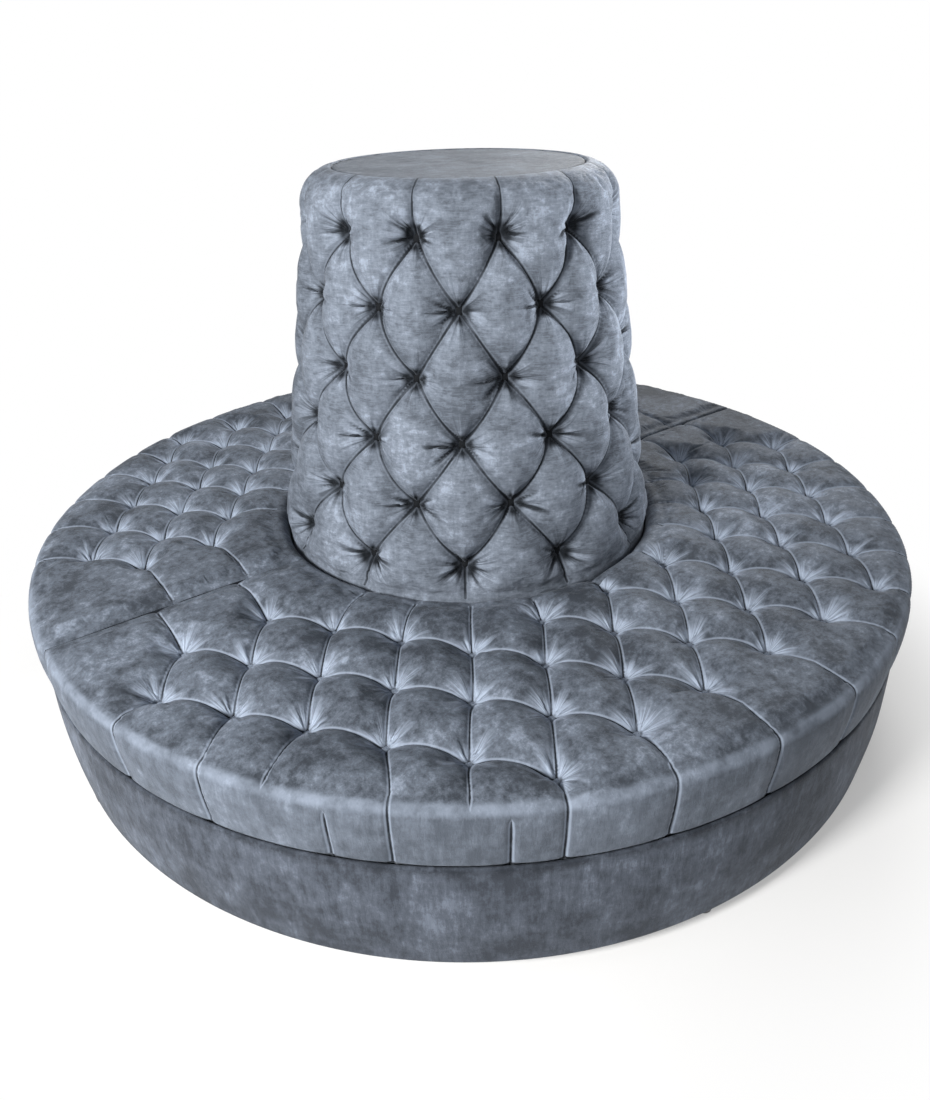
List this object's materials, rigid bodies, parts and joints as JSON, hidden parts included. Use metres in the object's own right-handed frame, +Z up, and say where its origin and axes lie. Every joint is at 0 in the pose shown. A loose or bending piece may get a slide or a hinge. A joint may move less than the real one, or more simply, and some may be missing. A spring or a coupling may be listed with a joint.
{
  "type": "tufted lobby sofa",
  "caption": "Round deep-buttoned lobby sofa: two half-round seat benches round a tapered, tufted backrest drum, on small feet.",
  "frame": {"origin": "on the floor, under the middle of the sofa", "axes": "+Z up; the benches meet on the plane Y = 0, the front bench lies towards -Y and the rear bench towards +Y"},
  "size_m": [1.9998, 1.9989, 1.168],
  "materials": {
    "seat_velvet": "crushed velvet, deep-buttoned",
    "backrest_velvet": "crushed velvet, deep-buttoned",
    "base_velvet": "crushed velvet, plain",
    "plywood": "raw plywood",
    "softwood": "sawn softwood",
    "dust_cloth": "black non-woven cloth",
    "foot_plastic": "satin black plastic",
    "steel": "zinc plated"
  },
  "bodies": {
    "root": {"front_seat_cushion": "seat_velvet", "rear_seat_cushion": "seat_velvet", "backrest_cushion": "backrest_velvet", "backrest_top_pad": "backrest_velvet", "front_base_cover": "base_velvet", "rear_base_cover": "base_velvet", "front_seat_board": "plywood", "rear_seat_board": "plywood", "front_bottom_board": "plywood", "rear_bottom_board": "plywood", "front_outer_panel": "plywood", "rear_outer_panel": "plywood", "front_inner_panel": "plywood", "rear_inner_panel": "plywood", "front_left_end_panel": "plywood", "front_right_end_panel": "plywood", "rear_left_end_panel": "plywood", "rear_right_end_panel": "plywood", "front_rib_1": "softwood", "front_rib_2": "softwood", "front_rib_3": "softwood", "front_rib_4": "softwood", "rear_rib_1": "softwood", "rear_rib_2": "softwood", "rear_rib_3": "softwood", "rear_rib_4": "softwood", "front_dust_cover": "dust_cloth", "rear_dust_cover": "dust_cloth", "front_foot_1": "foot_plastic", "front_foot_2": "foot_plastic", "front_foot_3": "foot_plastic", "front_foot_4": "foot_plastic", "front_foot_5": "foot_plastic", "front_foot_6": "foot_plastic", "rear_foot_1": "foot_plastic", "rear_foot_2": "foot_plastic", "rear_foot_3": "foot_plastic", "rear_foot_4": "foot_plastic", "rear_foot_5": "foot_plastic", "rear_foot_6": "foot_plastic", "left_link_plate": "steel", "right_link_plate": "steel", "tower_bottom_board": "plywood", "tower_plinth_panel": "plywood", "tower_middle_board": "plywood", "tower_cone_panel": "plywood", "tower_top_board": "plywood", "tower_lower_rib_1": "softwood", "tower_lower_rib_2": "softwood", "tower_lower_rib_3": "softwood", "tower_lower_rib_4": "softwood", "tower_upper_rib_1": "softwood", "tower_upper_rib_2": "softwood", "tower_upper_rib_3": "softwood", "tower_upper_rib_4": "softwood", "tower_foot_1": "foot_plastic", "tower_foot_2": "foot_plastic", "tower_foot_3": "foot_plastic", "tower_foot_4": "foot_plastic"}
  },
  "joints": []
}
